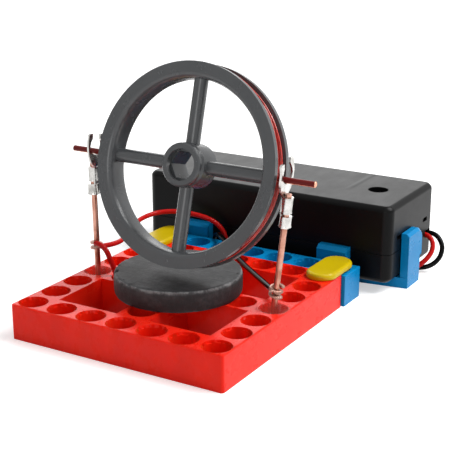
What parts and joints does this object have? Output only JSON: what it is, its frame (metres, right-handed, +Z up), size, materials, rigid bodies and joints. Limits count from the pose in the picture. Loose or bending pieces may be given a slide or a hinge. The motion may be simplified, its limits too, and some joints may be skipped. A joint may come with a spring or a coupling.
{
  "type": "demonstration electric motor",
  "caption": "Classroom electric motor: a wound spoked wheel on wire posts above a disc magnet, on a holed base with a battery box.",
  "frame": {"origin": "middle of the red base plate's underside, at its centre hole", "axes": "+X along the axle to the right, +Y back towards the battery box, +Z up"},
  "size_m": [0.0981, 0.1203, 0.0761],
  "materials": {
    "red_plastic": "moulded, satin gloss",
    "blue_plastic": "moulded, satin gloss",
    "yellow_plastic": "moulded, satin",
    "clear_plastic": "clear, soft",
    "grey_plastic": "moulded, satin gloss",
    "black_plastic": "fine grained",
    "copper": "drawn copper wire",
    "tinned_sheet": "tin plated",
    "enamel_wire": "red enamel on copper",
    "ferrite": "ground, dusty",
    "cell_jacket": "plain printed jacket",
    "spring_steel": "nickel plated",
    "screw_steel": "zinc plated",
    "red_insulation": "soft vinyl",
    "black_insulation": "soft vinyl",
    "bare_strands": "tinned copper strands, twisted"
  },
  "bodies": {
    "stand": {"base_plate": "red_plastic", "battery_bracket": "blue_plastic", "locking_pin_left": "yellow_plastic", "locking_pin_right": "yellow_plastic", "post_plug_left": "clear_plastic", "post_plug_right": "clear_plastic", "post_rod_left": "copper", "post_rod_right": "copper", "fork_terminal_left": "tinned_sheet", "fork_terminal_right": "tinned_sheet", "magnet_disc": "ferrite", "battery_case": "black_plastic", "aa_cell_1": "cell_jacket", "aa_cell_2": "cell_jacket", "contact_bridge": "spring_steel", "contact_positive": "spring_steel", "contact_negative": "spring_steel", "contact_spring_1": "spring_steel", "contact_spring_2": "spring_steel", "black_lead": "black_insulation", "red_lead": "red_insulation", "red_lead_tail": "red_insulation", "strand_wrap_left": "bare_strands", "strand_wrap_right": "bare_strands"},
    "armature": {"pulley_wheel": "grey_plastic", "coil_core": "enamel_wire", "coil_winding": "enamel_wire", "axle_stub_left": "enamel_wire", "axle_stub_right": "enamel_wire"},
    "cover": {"battery_cover": "black_plastic", "cover_screw": "screw_steel"}
  },
  "joints": [
    {"name": "armature_spin", "type": "hinge", "parent": "stand", "child": "armature", "pos_m": [0, 0, 0.04744], "axis": [1, 0, 0], "continuous": true},
    {"name": "cover_lift", "type": "slide", "parent": "stand", "child": "cover", "axis": [0, 0, 1], "range_m": [0, 0.03]}
  ]
}
